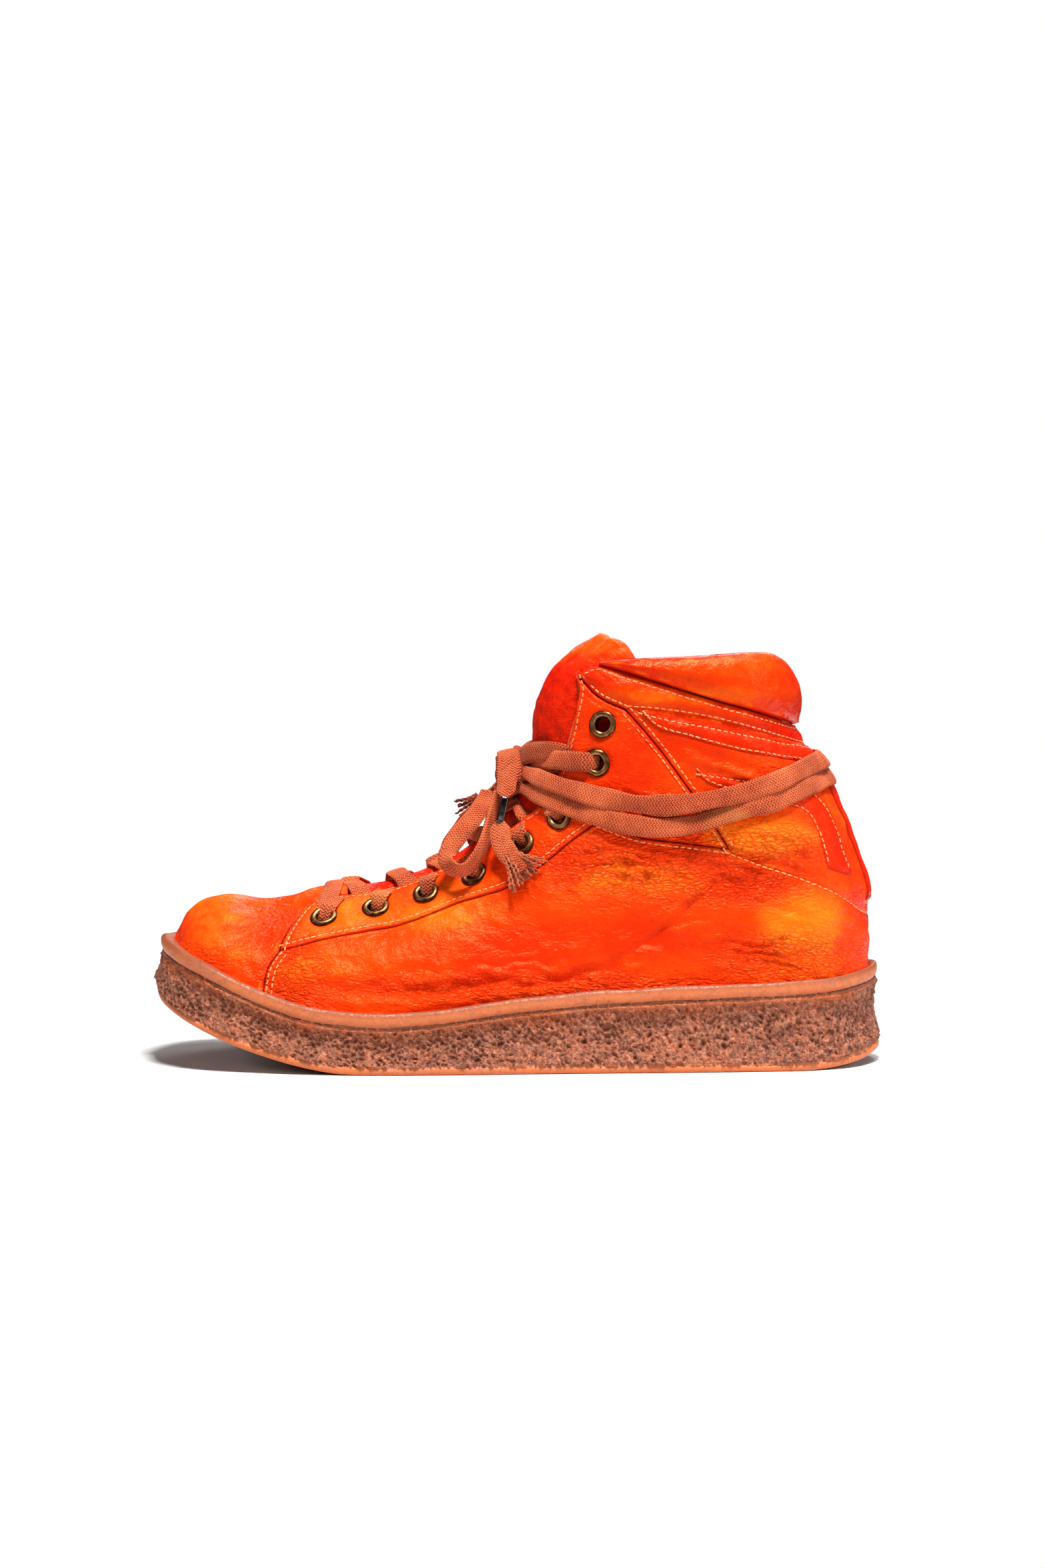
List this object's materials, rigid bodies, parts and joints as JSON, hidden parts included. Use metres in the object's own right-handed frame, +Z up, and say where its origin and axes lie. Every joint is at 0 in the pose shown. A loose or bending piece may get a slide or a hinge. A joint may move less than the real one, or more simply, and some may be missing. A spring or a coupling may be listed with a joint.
{
  "type": "high-top basketball shoe",
  "caption": "Left high-top leather basketball shoe on a crepe cup sole, laced and tied round the ankle, with a padded collar and hinged tongue.",
  "frame": {"origin": "on the ground plane under the middle of the sole's length, on the heel's centre line", "axes": "+X from toe to heel, -Y to the outer (lateral) side, +Z up from the ground"},
  "size_m": [0.2992, 0.11, 0.177],
  "materials": {
    "upper_leather": "burnished, creased",
    "trim_leather": "smooth, stitched",
    "crepe_rubber": "crepe texture",
    "lining_cloth": "woven",
    "footbed_cloth": "woven over foam",
    "foam": "open-cell foam",
    "stiffener_board": "fibre board",
    "spring_steel": "rolled",
    "brass_eyelet": "antique",
    "steel_tip": "worn",
    "cotton_lace": "flat woven, frayed ends"
  },
  "bodies": {
    "shoe": {"aglet": "steel_tip", "ankle_facing_lateral": "upper_leather", "ankle_facing_liner_lateral": "lining_cloth", "ankle_facing_liner_medial": "lining_cloth", "ankle_facing_medial": "upper_leather", "ankle_padding": "foam", "ankle_panel_lateral": "upper_leather", "ankle_panel_medial": "upper_leather", "bottom_filler": "stiffener_board", "collar_band_lateral": "upper_leather", "collar_band_medial": "upper_leather", "collar_lining": "lining_cloth", "collar_roll": "upper_leather", "cupsole": "crepe_rubber", "eyelets_lateral": "brass_eyelet", "eyelets_medial": "brass_eyelet", "facing_lateral": "upper_leather", "facing_liner_lateral": "lining_cloth", "facing_liner_medial": "lining_cloth", "facing_medial": "upper_leather", "footbed": "footbed_cloth", "heel_counter": "stiffener_board", "heel_strap": "trim_leather", "heel_wedge": "crepe_rubber", "insole_board": "stiffener_board", "lace_bars": "cotton_lace", "lace_end_lateral": "cotton_lace", "lace_end_medial": "cotton_lace", "lace_knot": "cotton_lace", "lace_loop_lateral": "cotton_lace", "lace_loop_medial": "cotton_lace", "lace_wrap_lower": "cotton_lace", "lace_wrap_upper": "cotton_lace", "quarter_lateral": "upper_leather", "quarter_lining": "lining_cloth", "quarter_medial": "upper_leather", "shank": "spring_steel", "stripe_rear_lateral": "trim_leather", "stripe_rear_medial": "trim_leather", "stripe_upper_lateral": "trim_leather", "stripe_upper_medial": "trim_leather", "toe_puff": "stiffener_board", "tongue_base": "upper_leather", "top_eyelet_lateral": "brass_eyelet", "top_eyelet_medial": "brass_eyelet", "vamp": "upper_leather", "vamp_lining": "lining_cloth"},
    "tongue": {"tongue_flap": "upper_leather"}
  },
  "joints": [
    {"name": "tongue_fold", "type": "hinge", "parent": "shoe", "child": "tongue", "pos_m": [0.012, 0, 0.129], "axis": [0, -1, 0], "range_deg": [-15, 22], "stiffness_Nm_per_rad": 0.4}
  ]
}
